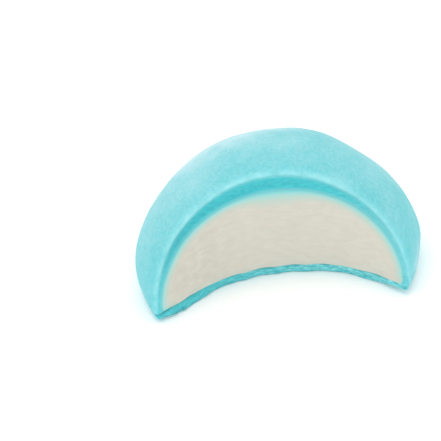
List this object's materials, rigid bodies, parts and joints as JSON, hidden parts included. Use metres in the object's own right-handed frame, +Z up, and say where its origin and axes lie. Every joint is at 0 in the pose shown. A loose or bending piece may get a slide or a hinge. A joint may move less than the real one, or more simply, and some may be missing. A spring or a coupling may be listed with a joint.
{
  "type": "mochi rice cake half",
  "caption": "Round soft rice cake with a wide concave bite out of one side: a thin smooth dough skin, thicker on top, wrapped round a pale cream filling.",
  "frame": {"origin": "on the table, under the middle of the bounding box of what is left of the cake", "axes": "+Z up out of the flat base, the bite faces -Y, +X along the width from horn to horn"},
  "size_m": [0.0486, 0.0348, 0.0251],
  "materials": {
    "turquoise_dough": "soft, lightly powdered dough",
    "pale_cream": "matte, finely scraped cream"
  },
  "bodies": {
    "root": {"rice_dough_skin": "turquoise_dough", "cream_filling": "pale_cream"}
  },
  "joints": []
}
